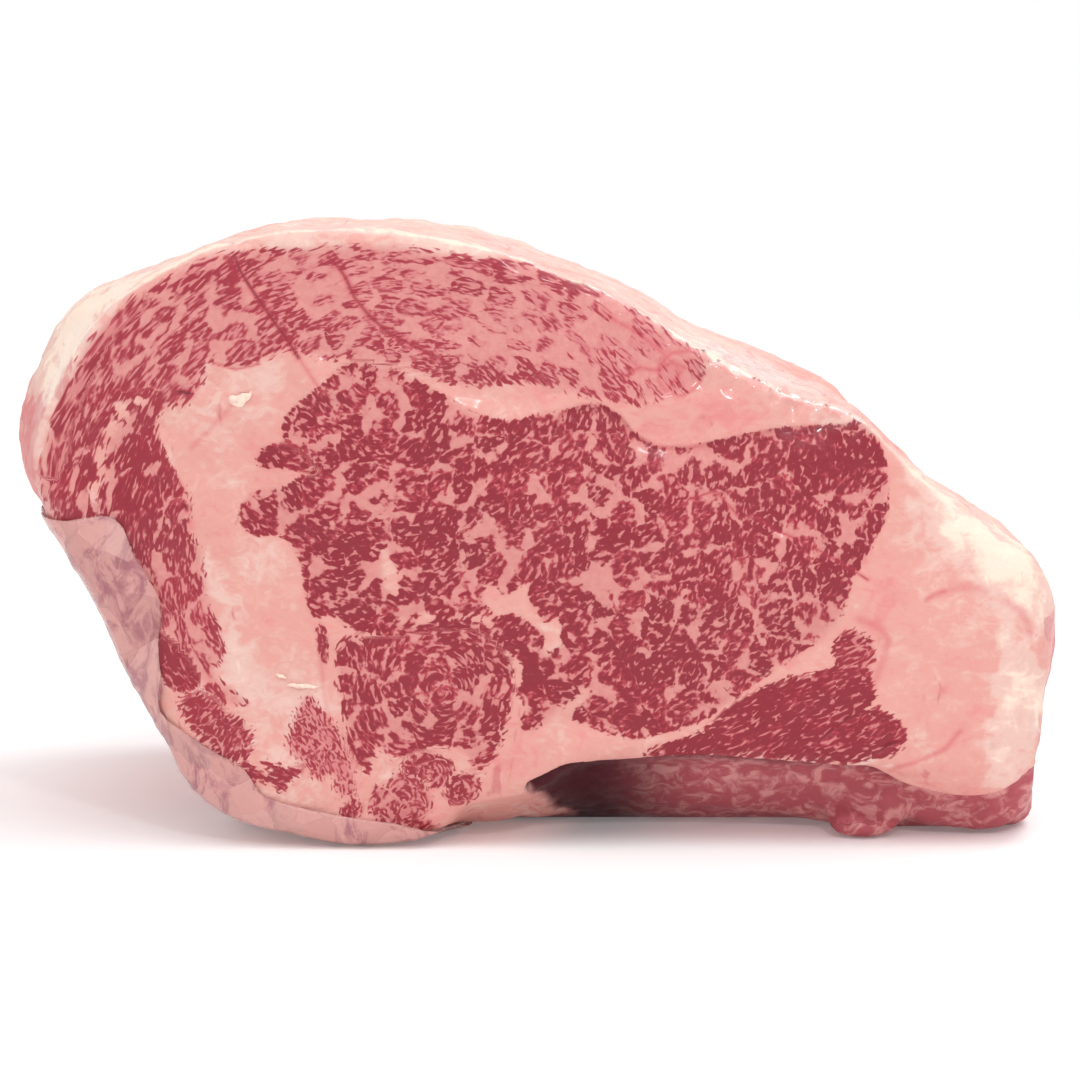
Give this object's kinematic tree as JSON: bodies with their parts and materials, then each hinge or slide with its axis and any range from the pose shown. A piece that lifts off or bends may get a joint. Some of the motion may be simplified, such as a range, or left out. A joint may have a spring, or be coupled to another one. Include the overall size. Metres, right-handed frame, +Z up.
{
  "type": "raw beef rib roast",
  "caption": "Boneless raw beef rib roast, heavily marbled, lying on its rib side, with clear wrap clinging to one lower edge.",
  "frame": {"origin": "on the resting plane under the middle of the roast's bounding box", "axes": "+X towards the belly side with the thick fat, -Y is where the shown cut face looks, +Z up"},
  "size_m": [0.2826, 0.1692, 0.1653],
  "materials": {
    "marbled_beef": "satin",
    "clear_wrap": "gloss"
  },
  "bodies": {
    "root": {"rib_roast": "marbled_beef", "wrap_film": "clear_wrap"}
  },
  "joints": []
}
